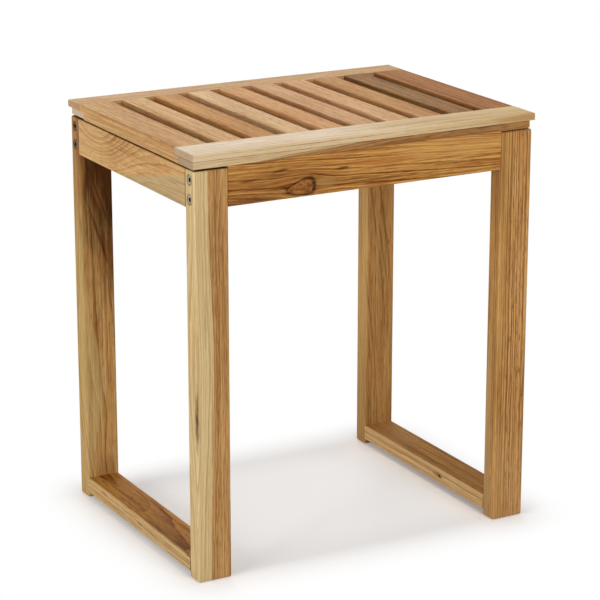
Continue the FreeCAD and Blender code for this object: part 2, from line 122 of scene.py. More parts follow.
class Strand:
    """An output socket of a material, or none yet. Sums and products with it add Math nodes."""

    def __init__(self, tree, socket=None):
        self.tree = tree
        self.socket = socket

    def node(self, kind, settings=(), inputs=(), out=0):
        """Adds a node of any kind: its settings first, then its inputs by name or number."""
        made = self.tree.nodes.new(kind)
        for name, value in dict(settings).items():
            setattr(made, name, value)
        for key, value in dict(inputs).items():
            if isinstance(value, Strand):
                self.tree.links.new(value.socket, made.inputs[key])
            else:
                made.inputs[key].default_value = value
        return Strand(self.tree, made.outputs[out]) if made.outputs else None

    def math(self, operation, first, second=0.0):
        return self.node("ShaderNodeMath", {"operation": operation}, {0: first, 1: second})

    def __add__(self, other):
        return self.math("ADD", self, other)

    def __radd__(self, other):
        return self.math("ADD", other, self)

    def __sub__(self, other):
        return self.math("SUBTRACT", self, other)

    def __rsub__(self, other):
        return self.math("SUBTRACT", other, self)

    def __mul__(self, other):
        return self.math("MULTIPLY", self, other)

    def __rmul__(self, other):
        return self.math("MULTIPLY", other, self)

    def __truediv__(self, other):
        return self.math("DIVIDE", self, other)

    def __rtruediv__(self, other):
        return self.math("DIVIDE", other, self)

    def __pow__(self, other):
        return self.math("POWER", self, other)

    def __abs__(self):
        return self.math("ABSOLUTE", self)

    def floor(self):
        return self.math("FLOOR", self)

    def rise(self, low, high):
        """0 below low, 1 above high, and a smooth climb between. With low above high it falls instead."""
        return self.node("ShaderNodeMapRange", {"interpolation_type": "SMOOTHSTEP"},
                         {"Value": self, "From Min": low, "From Max": high})

    def between(self, first, second):
        """A colour: the first where this strand is 0, the second where it is 1."""
        return self.node("ShaderNodeMix", {"data_type": "RGBA"}, {0: self, 6: first, 7: second}, out=2)

    def parts(self):
        """The three numbers of a vector, under the names X, Y and Z."""
        split = self.node("ShaderNodeSeparateXYZ", {}, {0: self}).socket.node
        return {name: Strand(self.tree, split.outputs[name]) for name in "XYZ"}

    def feeds(self, shader, name):
        self.tree.links.new(self.socket, shader.inputs[name])


def colour(red, green, blue):
    """An 8-bit screen colour as the linear red, green, blue and alpha that a shader takes."""
    screen = np.array([red, green, blue]) / 255.0
    linear = np.where(screen <= 0.04045, screen / 12.92, ((screen + 0.055) / 1.055) ** 2.4)
    return (*linear.tolist(), 1.0)


print("honey wood in linear numbers:", tuple(round(x, 3) for x in colour(186, 140, 88)))

# %% [markdown]
# ## Floor and background
#
# The photograph has a pure white ground with one soft grey shadow under the seat. A white floor under
# white lamps always comes out a little grey and uneven. Here the camera sees a mix of plain white and a
# bright lit card, so the ground is white and still takes the shadow. All other rays see an ordinary pale
# card. Beyond the feet the plain white takes over, and the world behind is white to the camera as well.

# %% White floor that keeps the shadow
FLOOR_HALF = 8.0
FLOOR_DROP = 0.0004
SHADOW_SHARE = 0.88
SHADOW_HALF = (0.205, 0.16)
SHADOW_FADE = 0.06
AMBIENT = 0.24
WHITE = (1.0, 1.0, 1.0, 1.0)
PALE_CARD = (0.8, 0.8, 0.8, 1.0)
BRIGHT_CARD = (1.3, 1.3, 1.3, 1.0)
DIRECT_RAYS = ("Is Camera Ray", "Is Glossy Ray", "Is Transmission Ray")

floor_mesh = bpy.data.meshes.new("floor")
corners = np.array([(-1, -1, 0), (1, -1, 0), (1, 1, 0), (-1, 1, 0)]) * FLOOR_HALF - (0, 0, FLOOR_DROP)
floor_mesh.from_pydata(corners.tolist(), [], [(0, 1, 2, 3)])
floor = bpy.data.objects.new("floor", floor_mesh)
bpy.context.scene.collection.objects.link(floor)


def seen_directly(start):
    """1 where the camera, or a mirror or glass in the scene, looks at the surface, and 0 elsewhere."""
    camera_ray, glossy_ray, clear_ray = (start.node("ShaderNodeLightPath", out=ray) for ray in DIRECT_RAYS)
    direct = camera_ray + glossy_ray + clear_ray
    return direct.math("MINIMUM", direct, 1.0)


floor_finish = bpy.data.materials.new("white_floor")
floor_finish.use_nodes = True
floor_finish.node_tree.nodes.clear()
start = Strand(floor_finish.node_tree)
place = start.node("ShaderNodeTexCoord", out="Object").parts()
shadow = SHADOW_SHARE
for axis, half in zip("XY", SHADOW_HALF):
    shadow = shadow * abs(place[axis]).rise(half + SHADOW_FADE, half - SHADOW_FADE / 2)
card = start.node("ShaderNodeBsdfDiffuse", {}, {"Color": PALE_CARD})
lit = start.node("ShaderNodeBsdfDiffuse", {}, {"Color": BRIGHT_CARD})
glow = start.node("ShaderNodeEmission", {}, {"Color": WHITE, "Strength": 1.0})
seen = start.node("ShaderNodeMixShader", {}, {0: shadow, 1: glow, 2: lit})
mixed = start.node("ShaderNodeMixShader", {}, {0: seen_directly(start), 1: card, 2: seen})
start.node("ShaderNodeOutputMaterial", {}, {"Surface": mixed})
floor_mesh.materials.append(floor_finish)

world.use_nodes = True
world.node_tree.nodes.clear()
start = Strand(world.node_tree)
dim = start.node("ShaderNodeBackground", {}, {"Color": WHITE, "Strength": AMBIENT})
bright = start.node("ShaderNodeBackground", {}, {"Color": WHITE, "Strength": 1.0})
sky = start.node("ShaderNodeMixShader", {}, {0: seen_directly(start), 1: dim, 2: bright})
start.node("ShaderNodeOutputWorld", {}, {"Surface": sky})
print("floor", 2 * FLOOR_HALF, "m wide")

# %% [markdown]
# ## What wood is made of
#
# A bar is a straight piece cut out of a log, and a log is a stack of growth rings around a centre line.
# If the finish knows where that centre line lies beside each bar, one formula gives all faces at once:
# straight lines where the cut crosses the rings squarely, flame-shaped arcs where it runs along them, and
# curved bands on the sawn ends. Painting each face by itself would break at every edge.
#
# All lengths below are in millimetres, measured from the middle of the bar: along the grain first, then
# the two directions across it.

# %% A bar and its place in the log


@dataclass
class Mark:
    """A lens-shaped mark: its middle along the bar and across one face, its half length and half width."""
    along: float
    across: float
    half_length: float
    half_width: float
    face: int = 2                     # 1 or 2: which of the two ways across the mark is seen in
    tilt: float = 0.0                 # degrees
    taper: float = 0.0                # above 0 the near end is narrower than the far end
    depth: float = 0.75               # how strong it is, or for a swell how far it pushes the rings, in mm
    under: float = 0.0                # its middle in the third direction, into the bar
    reach: float = 0.0                # its half size in that direction, or 0 if it goes right through
    tint: tuple = None                # its colour, where it isn't the usual one


@dataclass
class Timber:
    """One bar: where it was cut from the log, its colours and the marks that it carries."""
    along: str                        # the axis that the grain follows
    light: tuple                      # colour of the early wood between the rings
    dark: tuple                       # colour of the late wood in the rings
    pith: tuple = (70.0, 25.0)        # the log's centre line, seen from the bar's middle
    lean: tuple = (0.0, 0.0)          # how far that line drifts across for each millimetre along
    ring: float = 3.4                 # distance from ring to ring
    figure: float = 1.6               # how far the rings wander from true circles
    lines: float = 0.85               # how dark the rings' lines are
    bands: float = 0.28               # how strong the straight stripes are
    pale: float = 0.4                 # how bright the line after each ring is
    drift: float = 0.16               # how much the colour changes from place to place
    pores: float = 0.42               # how dark the pores are
    blush: tuple = colour(176, 106, 50)    # colour of the warmer places
    warmth: float = 0.22              # how strong these are
    sap: tuple = None                 # colours (light, dark) of the pale outer wood, if the bar has any
    sap_side: tuple = (0, 0, 0)       # direction from the heartwood to the sapwood
    sap_from: float = 0.0             # where the pale wood begins, along that direction
    sap_soft: float = 1.0             # half the width of the change
    sap_bulge: tuple = (0, 100, 0)    # where the pale wood is wider, over what length, and by how much
    streaks: tuple = ()               # dark mineral streaks
    shades: tuple = ()                # wide, soft places of another colour
    swells: tuple = ()                # places where the rings close into loops
    knots: tuple = ()
    seed: int = 1


print(Mark(along=0, across=0, half_length=16, half_width=7))

# %% Space along the grain
MM = 1000.0
CROSSWISE = {"X": ("Y", "Z"), "Y": ("X", "Z"), "Z": ("X", "Y")}
SEED_STEPS = (7.31, 3.77, 5.13)
RAGGED = 0.55
NOISE_GAIN = 4.0


def bar_space(place, node, along):
    """Millimetres from the bar's middle, as three strands: along the grain, and the two ways across."""
    low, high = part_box(node)
    middle = (low + high) / 2 * MM
    centred = place.node("ShaderNodeMapping", {}, {"Vector": place, "Location": -middle, "Scale": (MM,) * 3})
    parts = centred.parts()
    return [parts[name] for name in (along, *CROSSWISE[along])]


def joined(first, second, third):
    return first.node("ShaderNodeCombineXYZ", {}, {0: first, 1: second, 2: third})


def grainy(space, run, across, seed, detail=2.0):
    """Noise of about -1 to 1 that is drawn out along the grain: run and across are its sizes in mm."""
    offset = tuple(seed * step for step in SEED_STEPS)
    stretched = space.node("ShaderNodeMapping", {},
                           {"Vector": space, "Location": offset, "Scale": (1 / run, 1 / across, 1 / across)})
    cloud = stretched.node("ShaderNodeTexNoise", {},
                           {"Vector": stretched, "Scale": 1.0, "Detail": detail, "Roughness": RAGGED})
    return (cloud - 0.5) * NOISE_GAIN


print("grain axes:", CROSSWISE)

# %% [markdown]
# ## Knots, swells and streaks
#
# A knot is a branch that the trunk grew around, so the rings bulge past it and its own rim is dark. It
# could be a picture stuck on the bar, but then the lines would run straight into it. Instead the knot
# bends the space in which the rings are worked out: near it, the distance across the grain shrinks. A
# swell is the same thing before the branch shows: it pushes the rings outwards by a few millimetres, and
# where the saw cuts through it they close into loops. A mineral streak is simpler, a long dark lens.

# %% Marks in the wood
KNOT_PULL = 0.8
KNOT_SPREAD = 0.3


def lens(mark, ways):
    """0 in the middle of a mark, 1 on its rim: the length of the offset in the mark's own half sizes."""
    turn = math.radians(mark.tilt)
    ahead = ways[0] - mark.along
    aside = ways[mark.face] - mark.across
    long_way = (ahead * math.cos(turn) + aside * math.sin(turn)) / mark.half_length
    short_way = (aside * math.cos(turn) - ahead * math.sin(turn)) / mark.half_width
    if mark.taper:
        short_way = short_way * (1.0 - mark.taper * long_way)
    square = long_way * long_way + short_way * short_way
    if mark.reach:
        inward = (ways[3 - mark.face] - mark.under) / mark.reach
        square = square + inward * inward
    return square ** 0.5


def fading(near, speed=1.0):
    """1 in the middle of a mark and less and less outwards: e to the power of minus the distance squared."""
    falling = near * near * -speed
    return falling.math("EXPONENT", falling)


def bent_round(knot, ways):
    """The distance across the grain, drawn in near a knot so that the rings swell past it."""
    across = ways[knot.face]
    oval = replace(knot, taper=0.0)
    return across - (across - knot.across) * (KNOT_PULL * fading(lens(oval, ways), KNOT_SPREAD))


print("a knot draws space in by", KNOT_PULL, "of the distance across")

# %% [markdown]
# ## The wood itself
#
# The tone of the wood is a sum of parts. Each ring starts pale, darkens to a late line and stops short,
# and every ring has its own width and strength: many are faint and a few are bold. Straight stripes and
# fibres run along the grain, short dark pores sit mostly at the start of a ring, and a slow drift and a
# warm blush keep any two hand's breadths from matching. Sapwood is a second pair of colours behind a soft
# border. Sawn ends drink more oil and look greyer. The same strands give the fine relief and the gloss.

# %% Rings
SLOW = (190.0, 34.0)
QUICK = (34.0, 5.0)
QUICK_SHARE = 0.13
UNEVEN_OVER = 4.0
UNEVEN_BY = 2.0
LATE_POWER = 3.4
PALE_POWER = 5.0
EARLY_POWER = 2.0
FAINTEST = 0.15


def ring_reach(timber, ways, space):
    """Distance from the log's centre line, with the swells and the wander of real rings added to it."""
    grain, across, upward = ways
    aside = across - timber.pith[0] - grain * timber.lean[0]
    above = upward - timber.pith[1] - grain * timber.lean[1]
    reach = (aside * aside + above * above) ** 0.5
    for swell in timber.swells:
        reach = reach + swell.depth * fading(lens(swell, ways))
    reach = reach + timber.figure * grainy(space, *SLOW, timber.seed)
    reach = reach + QUICK_SHARE * timber.ring * grainy(space, *QUICK, timber.seed + 11)
    years = reach / (UNEVEN_OVER * timber.ring) + timber.seed
    uneven = years.node("ShaderNodeTexNoise", {"noise_dimensions": "1D"}, {"W": years, "Scale": 1.0}) - 0.5
    return reach + UNEVEN_BY * timber.ring * uneven


def late_wood(timber, reach):
    """How dark a place is in its ring and how near to its start: powers of the way through the ring."""
    turns = reach / timber.ring
    number = turns.floor()
    share = turns - number
    own = number.node("ShaderNodeTexWhiteNoise", {"noise_dimensions": "1D"}, {"W": number + timber.seed})
    dark_end = (share ** LATE_POWER) * (FAINTEST + (1.0 - FAINTEST) * own * own)
    pale_start = timber.pale * ((1.0 - share) ** PALE_POWER) * own
    return dark_end - pale_start, (1.0 - share) ** EARLY_POWER


print("a ring wanders over", SLOW, "and", QUICK, "mm")

# %% Sapwood, shades, streaks and knots
END_GREY = colour(166, 134, 108)
PORE = colour(84, 50, 22)
STREAK = colour(74, 38, 14)
SHADE = colour(58, 28, 5)
KNOT_RIM = colour(44, 20, 8)
KNOT_HEART = colour(172, 112, 58)
KNOT_DARK = colour(116, 66, 30)
SAP_BORDER = (120.0, 12.0)
SAP_WANDER = 0.8
SAP_PORES = 0.3
SHADE_EDGE = (40.0, 6.0)
STREAK_EDGE = (14.0, 2.0)
KNOT_EDGE = (7.0, 5.0)
KNOT_MOTTLE = (9.0, 4.0)
KNOT_SPECK = (2.5, 1.6)
KNOT_YEARS = 2.6


def with_sapwood(timber, paint, tone, pores, ways, space):
    """Pale wood on one side of a plane, whose border wanders and may bulge at one place along the bar."""
    middle, length, bulge = timber.sap_bulge
    border = SAP_WANDER * timber.sap_soft * grainy(space, *SAP_BORDER, timber.seed + 71)
    for way, share in zip(ways, timber.sap_side):
        border = border + way * share
    if bulge:
        border = border + bulge * fading((ways[0] - middle) / length)
    pale = (border - timber.sap_from).rise(-timber.sap_soft, timber.sap_soft)
    sapwood = (SAP_PORES * timber.pores * pores).between(tone.between(*timber.sap), PORE)
    return pale.between(paint, sapwood)


def with_knot(knot, paint, ways, space, seed):
    """A knot's mottled heart with its own rings, and a broken dark rim that is thicker at some places."""
    near = lens(knot, ways) + 0.08 * grainy(space, *KNOT_EDGE, seed + 91)
    inside = near.rise(1.0, 0.9)
    heart = grainy(space, *KNOT_MOTTLE, seed + 95).rise(-0.5, 0.7).between(KNOT_HEART, KNOT_DARK)
    paint = (0.85 * inside).between(paint, heart)
    turns = near * KNOT_YEARS
    rings = 0.5 * (turns - turns.floor()) ** 4.0 * inside
    specks = grainy(space, *KNOT_SPECK, seed + 97).rise(0.3, 0.6) * near.rise(0.9, 0.7)
    thick = grainy(space, *KNOT_MOTTLE, seed + 93).rise(-0.7, 0.5)
    rim = near.rise(0.76, 0.95) * near.rise(1.26, 1.0) * (0.5 + 0.5 * thick)
    inner = rings.math("MAXIMUM", rings, 0.7 * specks)
    return (knot.depth * rim.math("MAXIMUM", rim, inner)).between(paint, KNOT_RIM)


def with_marks(timber, paint, ways, space):
    """Shades, streaks and knots, laid over the wood's colour in that order."""
    for shade in timber.shades:
        near = lens(shade, ways) + 0.14 * grainy(space, *SHADE_EDGE, timber.seed + 79)
        paint = (shade.depth * near.rise(1.0, 0.35)).between(paint, shade.tint or SHADE)
    for streak in timber.streaks:
        near = lens(streak, ways) + 0.3 * grainy(space, *STREAK_EDGE, timber.seed + 83)
        paint = (streak.depth * near.rise(1.0, 0.2)).between(paint, streak.tint or STREAK)
    for knot in timber.knots:
        paint = with_knot(knot, paint, ways, space, timber.seed)
    return paint


print("a streak in linear numbers:", tuple(round(x, 3) for x in STREAK))

# %% The wood finish
STRIPES = (150.0, 2.0)
FIBRES = (18.0, 1.2)
PORE_SIZE = (13.0, 1.7)
DRIFT = (150.0, 20.0)
BLUSH = (90.0, 9.0)
MIDDLE_TONE = 0.38
FIBRE_TONE = 0.2
PORES_ANYWHERE = 0.45
END_SHARE = 0.5
OILED = 0.62
WOOD_SHINE = 0.06


def new_finish(name):
    """A new material, its main shader, and the place on the surface as a strand."""
    material = bpy.data.materials.new(name)
    material.use_nodes = True
    place = Strand(material.node_tree).node("ShaderNodeTexCoord", out="Object")
    return material, material.node_tree.nodes["Principled BSDF"], place


def emboss(shader, height, strength, distance):
    """A fine relief, its distance in metres."""
    bump = height.node("ShaderNodeBump", {}, {"Strength": strength, "Distance": distance, "Height": height})
    bump.feeds(shader, "Normal")


def end_faces(place, along):
    """1 on the sawn ends of a bar and 0 on its long faces, from the way that the surface faces."""
    facing = place.node("ShaderNodeNewGeometry", out="Normal").parts()
    return abs(facing[along]).rise(0.75, 0.95)


def wood(node, timber):
    """The finish of one bar, from its place in the log and its marks."""
    material, shader, place = new_finish(f"wood_{node}")
    ways = bar_space(place, node, timber.along)
    space = joined(*ways)
    bent_ways = list(ways)
    for knot in timber.knots:
        bent_ways[knot.face] = bent_round(knot, bent_ways)
    bent = joined(*bent_ways)

    late, early = late_wood(timber, ring_reach(timber, bent_ways, bent))
    stripes = grainy(bent, *STRIPES, timber.seed + 31, detail=3.0)
    fibre = grainy(bent, *FIBRES, timber.seed + 47, detail=3.0)
    pores = grainy(bent, *PORE_SIZE, timber.seed + 59).rise(0.2, 0.7)
    pores = pores * (PORES_ANYWHERE + (1.0 - PORES_ANYWHERE) * early)
    drift = grainy(bent, *DRIFT, timber.seed + 23)
    warm = grainy(bent, *BLUSH, timber.seed + 101).rise(-0.1, 0.8)
    tone = MIDDLE_TONE + timber.lines * late + timber.bands * stripes
    tone = (tone + timber.drift * drift + FIBRE_TONE * fibre).rise(-0.05, 1.0)
    paint = tone.between(timber.light, timber.dark)
    paint = (timber.warmth * warm).between(paint, timber.blush)
    paint = (timber.pores * pores).between(paint, PORE)
    if timber.sap:
        paint = with_sapwood(timber, paint, tone, pores, ways, space)
    ends = end_faces(place, timber.along)
    paint = (END_SHARE * ends).between(paint, END_GREY)
    with_marks(timber, paint, ways, space).feeds(shader, "Base Color")

    (OILED + 0.06 * fibre + 0.12 * pores + 0.12 * ends).feeds(shader, "Roughness")
    emboss(shader, fibre * 0.15 - pores * 0.5 - late * 0.4, strength=0.3, distance=0.0003)
    shader.inputs["Specular IOR Level"].default_value = WOOD_SHINE
    return material


def dress(node, finish):
    """Puts a finish on every material slot of a solid."""
    for index in range(len(nodes[node].data.materials)):
        nodes[node].data.materials[index] = finish
    print(node, "wears", finish.name)


def cut_from_log(node, *cut, **details):
    """Makes one bar's finish from its cut and puts it on."""
    dress(node, wood(node, Timber(*cut, **details)))


print("fibres of", FIBRES, "mm and pores of", PORE_SIZE, "mm")

# %% [markdown]
# ## The seat
#
# The long front board is almost all sapwood, pale cream with a few thin grey lines. The batten under it is
# the same pale wood at the left and turns brown towards the right, along a slanting border. The sawn ends
# at the left differ in tone, so each gets a mark that covers the end and nothing else. The slats come from
# several logs, which is why no two have quite the same colour.

# %% Boards and battens of the seat
CREAM = (colour(220, 194, 152), colour(182, 148, 102))
PINKISH = (colour(236, 218, 192), colour(198, 170, 134))
STRAW = (colour(222, 194, 148), colour(176, 140, 92))
TAN = colour(204, 172, 118)
HONEY = (colour(206, 162, 106), colour(142, 94, 46))
END_SKIN = 1.5
ALL_OVER = 400


def sawn_end(along, tint):
    """A mark that covers one end of a bar and nothing else."""
    return Mark(along, 0, END_SKIN, ALL_OVER, face=1, depth=0.6, tint=tint)


cut_from_log("seat_front_board", "X", *PINKISH, pith=(30, 90), ring=2.8, figure=1.2, lines=0.75, pores=0.25,
             warmth=0.04, seed=3, sap=STRAW, sap_side=(1, 0, 0), sap_from=40, sap_soft=140,
             shades=(Mark(0, 0, 900, 40, depth=0.55, tint=TAN, under=-20.5, reach=3),
                     Mark(205, 1, 80, 8, depth=0.55, tint=colour(170, 120, 66), under=-20.5, reach=6),
                     sawn_end(-200.3, colour(172, 142, 106))),
             streaks=(Mark(-60, 1.1, 150, 0.6, depth=0.5), Mark(110, -1.0, 90, 0.6, depth=0.45)))
cut_from_log("seat_rear_board", "X", colour(214, 178, 132), colour(166, 122, 78), pith=(-40, 70), seed=4)
cut_from_log("seat_front_batten", "X", colour(186, 139, 86), colour(122, 78, 38), pith=(20, 60), ring=2.6,
             lean=(0, 0.05), seed=5, sap=CREAM, sap_side=(-0.064, 0, 1), sap_from=4.3, sap_soft=0.6,
             streaks=(Mark(-78, 0.0, 70, 0.9, tilt=3.6, depth=0.45),
                      Mark(143, 2.7, 22, 1.2, tilt=2.5, depth=0.6),
                      Mark(0, 3.9, 600, 0.7, depth=0.6)),
             shades=(sawn_end(-197.0, colour(160, 136, 110)),))
cut_from_log("seat_rear_batten", "X", colour(226, 202, 168), colour(188, 156, 118), pith=(20, -60), seed=6,
             shades=(sawn_end(-198.3, colour(210, 188, 162)),))

# %% Slats of the seat
SLAT_WOODS = (
    (colour(213, 170, 117), colour(158, 113, 63)),
    (colour(221, 180, 130), colour(172, 126, 76)),
    (colour(203, 153, 94), colour(152, 99, 48)),
    (colour(226, 190, 145), colour(182, 138, 90)),
    (colour(220, 171, 118), colour(170, 116, 66)),
    (colour(214, 170, 126), colour(168, 120, 74)),
    (colour(224, 180, 134), colour(174, 126, 80)),
    (colour(202, 154, 101), colour(150, 100, 55)),
    (colour(166, 124, 74), colour(74, 44, 18)),
    (colour(180, 126, 76), colour(120, 70, 32)),
)
SLAT_SWELLS = {9: (Mark(-70, 1, 38, 12, face=1, depth=14),), 4: (Mark(40, 8, 60, 10, face=1, depth=8),)}
for number, (light, dark) in enumerate(SLAT_WOODS, start=1):
    side = 1 if number % 2 else -1
    cut_from_log(f"seat_slat_{number:02d}", "Y", light, dark, pith=(side * (30 + 3 * number), -45),
                 lean=(0.02 * side, 0.03), ring=2.4 + 0.3 * (number % 4), lines=0.5, seed=10 + number,
                 swells=SLAT_SWELLS.get(number, ()))

# %% [markdown]
# ## Aprons
#
# The front apron is the showpiece: golden brown, with pale parallel lines near the top, a few short dark
# streaks and one eye-shaped knot low at the left.

# %% Front and rear aprons
GREENISH = colour(168, 130, 76)
RUSSET = colour(112, 58, 24)
GILT = colour(214, 164, 94)

cut_from_log("front_apron", "X", colour(210, 154, 82), colour(108, 58, 16), pith=(25, -110), lean=(0, -0.06),
             ring=3.2, figure=2.2, lines=0.95, bands=0.38, pale=1.7, blush=colour(166, 94, 36), warmth=0.5,
             seed=31,
             streaks=(Mark(-138, 2.3, 13, 2.4, depth=0.8, tint=RUSSET),
                      Mark(-99, 9.0, 15, 2.4, tilt=2, depth=0.85),
                      Mark(-31, 3.2, 14, 2.6, depth=0.8),
                      Mark(-52, -1.2, 20, 1.3, tilt=-12, depth=0.6),
                      Mark(-96, -9.8, 9, 2.6, tilt=-10, depth=0.85),
                      Mark(96, -6.0, 44, 1.5, tilt=-3, depth=0.45),
                      Mark(-130, -16.5, 38, 2.0, tilt=-6.6, depth=0.6)),
             shades=(Mark(-140, -20, 40, 7, depth=0.55, tint=RUSSET),
                     Mark(-130, -8, 130, 30, depth=0.3, tint=RUSSET),
                     Mark(-50, -9, 16, 9, depth=0.45, tint=GREENISH),
                     Mark(110, 12, 120, 16, depth=0.4, tint=GILT),
                     Mark(12, -17, 22, 5, depth=0.4, tint=RUSSET)),
             knots=(Mark(-79, -11.2, 16, 7.2, tilt=6, taper=0.5, depth=0.92),))
cut_from_log("rear_apron", "X", *HONEY, pith=(-60, -40), lean=(0, -0.03), seed=32)

# %% [markdown]
# ## Side frames
#
# The legs were cut close to the bark on one side: the near leg is pale yellow to almost half its width.
# The rails have broader, flame-shaped figure, because their wide faces run along the rings. In the
# photograph the narrow gap between the left frame and the seat is a dark line of shade. Too much light
# gets into it here, so the tops of that frame's bars carry painted shade as dark as that line.

# %% Legs
# Painted shade: the top ends of the left legs and the top of the left rail are darkened like the shade in
# the gap under the seat.
GAP_SHADE = colour(40, 20, 6)
LEG_TOP_SHADE = Mark(216.9, 0, 1.6, ALL_OVER, face=1, depth=0.92, tint=GAP_SHADE)
RAIL_TOP_SHADE = Mark(0, 20.8, 900, 2.1, depth=0.92, tint=GAP_SHADE)
YELLOW = (colour(216, 190, 140), colour(184, 153, 102))
GOLD = (colour(202, 154, 90), colour(140, 94, 46))
LEG_FRONT = -10
LEG_SIDE = -19


def on_front(*place, reach=13, **details):
    """A mark under the front face of a leg, which doesn't go right through."""
    return Mark(*place, face=1, under=LEG_FRONT, reach=reach, **details)


def on_side(*place, reach=8, **details):
    """A mark under the left face of a leg, which doesn't go right through."""
    return Mark(*place, under=LEG_SIDE, reach=reach, **details)


cut_from_log("left_front_leg", "Z", colour(201, 156, 98), colour(130, 86, 42), pith=(75, 30), lean=(0.01, 0),
             ring=2.8, figure=1.2, seed=41, sap=YELLOW, sap_side=(0, -1, 0.05), sap_from=4.2,
             sap_soft=0.7, sap_bulge=(0, 130, 5.4),
             swells=(Mark(235, 18, 70, 12, face=1, depth=9), Mark(0, 0, 130, 80, face=1, depth=6)),
             streaks=(on_front(-40, -19.6, 44, 4.5, depth=0.9, reach=4.5),
                      on_front(-55, -1.5, 80, 1.3, tilt=1.2, depth=0.4, tint=RUSSET, reach=12),
                      on_front(62, -8, 40, 1.8, depth=0.3, reach=9)),
             shades=(LEG_TOP_SHADE,))
cut_from_log("right_front_leg", "Z", colour(212, 162, 101), colour(136, 86, 36), pith=(-64, 46), ring=2.4,
             figure=0.8, lines=0.95, bands=0.38, pores=0.72, seed=42,
             sap=GOLD, sap_side=(0, -1, 0), sap_from=6, sap_soft=3,
             streaks=(Mark(0, -0.6, 280, 1.0, face=1, tilt=-0.37, depth=0.55),
                      Mark(0, -11.4, 280, 0.8, face=1, depth=0.4),
                      on_side(0, -2.7, 320, 1.5, depth=0.5, tint=RUSSET, reach=6)),
             shades=(on_front(-190, 0, 110, 60, depth=0.2, tint=colour(206, 164, 112), reach=14),
                     on_side(-150, 4, 200, 10, depth=0.35, tint=colour(186, 156, 114)),
                     on_side(200, 0, 130, 30, depth=0.3, tint=colour(118, 74, 36))))
cut_from_log("left_rear_leg", "Z", colour(210, 166, 102), colour(124, 80, 34), pith=(-60, 30),
             lean=(-0.04, 0.02), ring=3.8, figure=1.8, lines=0.75, seed=43,
             swells=(Mark(-72, -30, 125, 30, face=1, depth=18), Mark(-181, 8, 40, 14, face=1, depth=7),
                     Mark(215, 30, 150, 34, face=1, depth=20)),
             sap=(colour(202, 168, 110), colour(161, 125, 73)), sap_side=(0, -1, 0), sap_from=17,
             sap_soft=2.2, sap_bulge=(-85, 72, 21),
             shades=(on_front(62, 8, 36, 9, depth=0.35, tint=colour(190, 116, 46)),
                     # Painted shade under the seat, laid over the leg's own dark heartwood: the top of this
                     # face darkens almost to black.
                     on_front(215, 22, 265, 70, depth=0.96, tint=colour(68, 32, 1), reach=15.5),
                     on_front(-186, 6, 24, 12, depth=0.35, tint=RUSSET),
                     on_front(128, 2, 26, 5, tilt=-19, depth=0.4, tint=colour(158, 104, 48)),
                     on_front(108, 15, 24, 6, tilt=-8, depth=0.6, tint=colour(40, 20, 2)),
                     on_front(88, 0, 62, 2.2, tilt=-18.3, depth=0.6),
                     on_front(120, 5, 50, 2.6, tilt=-19.5, depth=0.6),
                     Mark(190, -19, 120, 5, face=1, depth=0.45, tint=colour(150, 88, 42)), LEG_TOP_SHADE))
cut_from_log("right_rear_leg", "Z", colour(195, 147, 86), colour(118, 76, 32), pith=(-60, 30),
             lean=(-0.12, 0.02), ring=3.8, figure=1.4, lines=0.5, seed=44,
             sap=(colour(201, 161, 102), colour(165, 125, 73)), sap_side=(0, -1, 0), sap_from=17,
             sap_soft=1.4, swells=(Mark(-195, 10, 85, 11, face=1, depth=21),),
             shades=(on_side(-190, 0, 130, 40, depth=0.3, tint=colour(120, 76, 30)),),
             streaks=(Mark(18, 3.5, 80, 0.9, face=1, tilt=-9.6, depth=0.5),
                      Mark(29, 11.7, 5, 1.2, face=1, depth=0.7)))

# %% Rails
cut_from_log("left_top_rail", "Y", colour(216, 174, 117), colour(158, 111, 62), pith=(60, -40),
             lean=(0.03, 0.02), ring=4.4, figure=1.6, lines=0.75, bands=0.22, seed=51,
             sap=(colour(197, 168, 123), colour(158, 127, 82)), sap_side=(-0.2, 0, -1), sap_from=14.6,
             sap_soft=2.0, swells=(Mark(85, 20, 85, 45, depth=38),),
             shades=(Mark(105, 0, 70, 60, depth=0.3, tint=colour(224, 184, 130)), RAIL_TOP_SHADE),
             streaks=(Mark(-103, -0.4, 18, 0.6, depth=0.4),))
cut_from_log("right_top_rail", "Y", *HONEY, pith=(-40, 10), lean=(-0.06, 0.02), seed=52)
cut_from_log("left_foot_rail", "Y", colour(206, 146, 68), colour(112, 62, 14), pith=(-8, -30),
             lean=(0.05, 0.04), ring=3.4, figure=2.6, seed=53,
             sap=(colour(214, 180, 128), colour(148, 108, 60)), sap_side=(0, -1, 0), sap_from=17,
             sap_soft=1.2,
             streaks=(Mark(50, -4, 50, 2.4, face=1, tilt=-2, depth=0.45),
                      Mark(85, 5, 11, 2.0, depth=0.5),
                      Mark(-7, 1.0, 10, 1.6, depth=0.6),
                      Mark(-77, 2.5, 15, 0.9, depth=0.5),
                      Mark(-122, 7, 8, 1.8, depth=0.6),
                      Mark(70, -1.0, 75, 0.7, depth=0.4, tint=RUSSET),
                      Mark(20, -4.2, 120, 0.7, depth=0.45, tint=RUSSET),
                      Mark(-70, -2.4, 60, 0.7, depth=0.45, tint=RUSSET)),
             shades=(Mark(85, 0, 45, 40, face=1, depth=0.22, tint=colour(214, 158, 84)),))
cut_from_log("right_foot_rail", "Y", colour(208, 152, 78), colour(126, 78, 26), pith=(-70, 20), ring=2.6,
             figure=0.8, bands=0.4, seed=54,
             sap=(colour(222, 184, 130), colour(176, 134, 84)), sap_side=(0, -1, 0), sap_from=17,
             sap_soft=1.2, streaks=(Mark(-39, 1.0, 5.5, 3.0, depth=0.9),),
             shades=(Mark(-34, 1.0, 14, 4.5, depth=0.5, tint=RUSSET),
                     Mark(90, 0, 60, 50, face=1, depth=0.28, tint=colour(200, 160, 110))))

